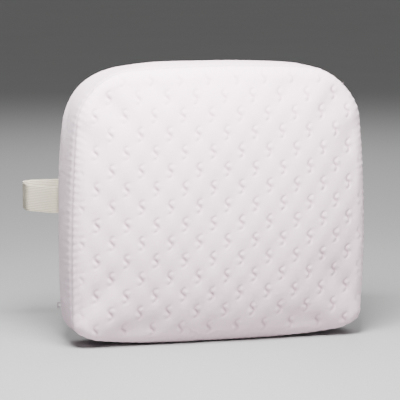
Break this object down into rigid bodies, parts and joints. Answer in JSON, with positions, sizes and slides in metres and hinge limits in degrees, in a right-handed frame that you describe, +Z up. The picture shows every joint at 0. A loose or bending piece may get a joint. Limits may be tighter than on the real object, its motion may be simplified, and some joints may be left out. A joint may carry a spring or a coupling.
{
  "type": "lumbar support cushion",
  "caption": "Upright foam lumbar cushion in a zipped cloth cover with a dimpled front, held round a chair's back by an elastic strap with a side-release buckle.",
  "frame": {"origin": "middle of the flat stretch of the base, which the cushion stands on", "axes": "+Z up the cushion, -Y out of the front that a person leans on, +Y towards the strap, +X to the right seen from the front"},
  "size_m": [0.3906, 0.1837, 0.31],
  "materials": {
    "front_cloth": "matte",
    "gusset_cloth": "matte",
    "back_net": "matte",
    "liner_knit": "matte",
    "foam": "matte",
    "zip_tape": "matte",
    "zip_coil": "satin",
    "zip_metal": "satin",
    "label_satin": "satin",
    "strap_elastic": "matte",
    "patch_cloth": "matte",
    "buckle_plastic": "satin"
  },
  "bodies": {
    "root": {"foam_core": "foam", "inner_liner": "liner_knit", "front_panel": "front_cloth", "side_gusset": "gusset_cloth", "back_panel_upper": "back_net", "back_panel_lower": "back_net", "zip_tape_upper": "zip_tape", "zip_tape_lower": "zip_tape", "zip_coil_upper": "zip_coil", "zip_coil_lower": "zip_coil", "zip_stop_left": "zip_metal", "zip_stop_right": "zip_metal", "care_label": "label_satin", "strap_left": "strap_elastic", "strap_right": "strap_elastic", "strap_patch_left": "patch_cloth", "strap_patch_right": "patch_cloth", "buckle_socket": "buckle_plastic"},
    "zip_slider": {"zip_slider": "zip_metal"},
    "zip_pull": {"zip_pull_tab": "zip_metal"},
    "plug": {"buckle_plug": "buckle_plastic"},
    "latch_upper": {"latch_arm_upper": "buckle_plastic"},
    "latch_lower": {"latch_arm_lower": "buckle_plastic"},
    "keeper": {"strap_keeper": "strap_elastic"}
  },
  "joints": [
    {"name": "zip_travel", "type": "slide", "parent": "root", "child": "zip_slider", "axis": [1, 0, 0], "range_m": [0, 0.289]},
    {"name": "pull_tab_flip", "type": "hinge", "parent": "zip_slider", "child": "zip_pull", "pos_m": [-0.1445, 0.04516, 0.03722], "axis": [0, -0.209, -0.9779], "range_deg": [0, 178]},
    {"name": "buckle_release", "type": "slide", "parent": "root", "child": "plug", "axis": [1, 0, 0], "range_m": [0, 0.027], "deforming": ["strap_right", "latch_arm_upper", "latch_arm_lower"]},
    {"name": "latch_squeeze", "type": "hinge", "parent": "plug", "child": "latch_upper", "pos_m": [0.0001, 0.1222, 0.166], "axis": [0, -1, 0], "range_deg": [0, 10], "stiffness_Nm_per_rad": 0.01},
    {"name": "latch_squeeze_lower", "type": "hinge", "parent": "plug", "child": "latch_lower", "pos_m": [0.0001, 0.1222, 0.144], "axis": [0, 1, 0], "range_deg": [0, 10], "stiffness_Nm_per_rad": 0.01},
    {"name": "keeper_slide", "type": "slide", "parent": "root", "child": "keeper", "axis": [1, 0, 0], "range_m": [0, 0.028]}
  ],
  "couplings": [
    {"joint": "latch_squeeze_lower", "follows": "latch_squeeze", "ratio": 1}
  ]
}
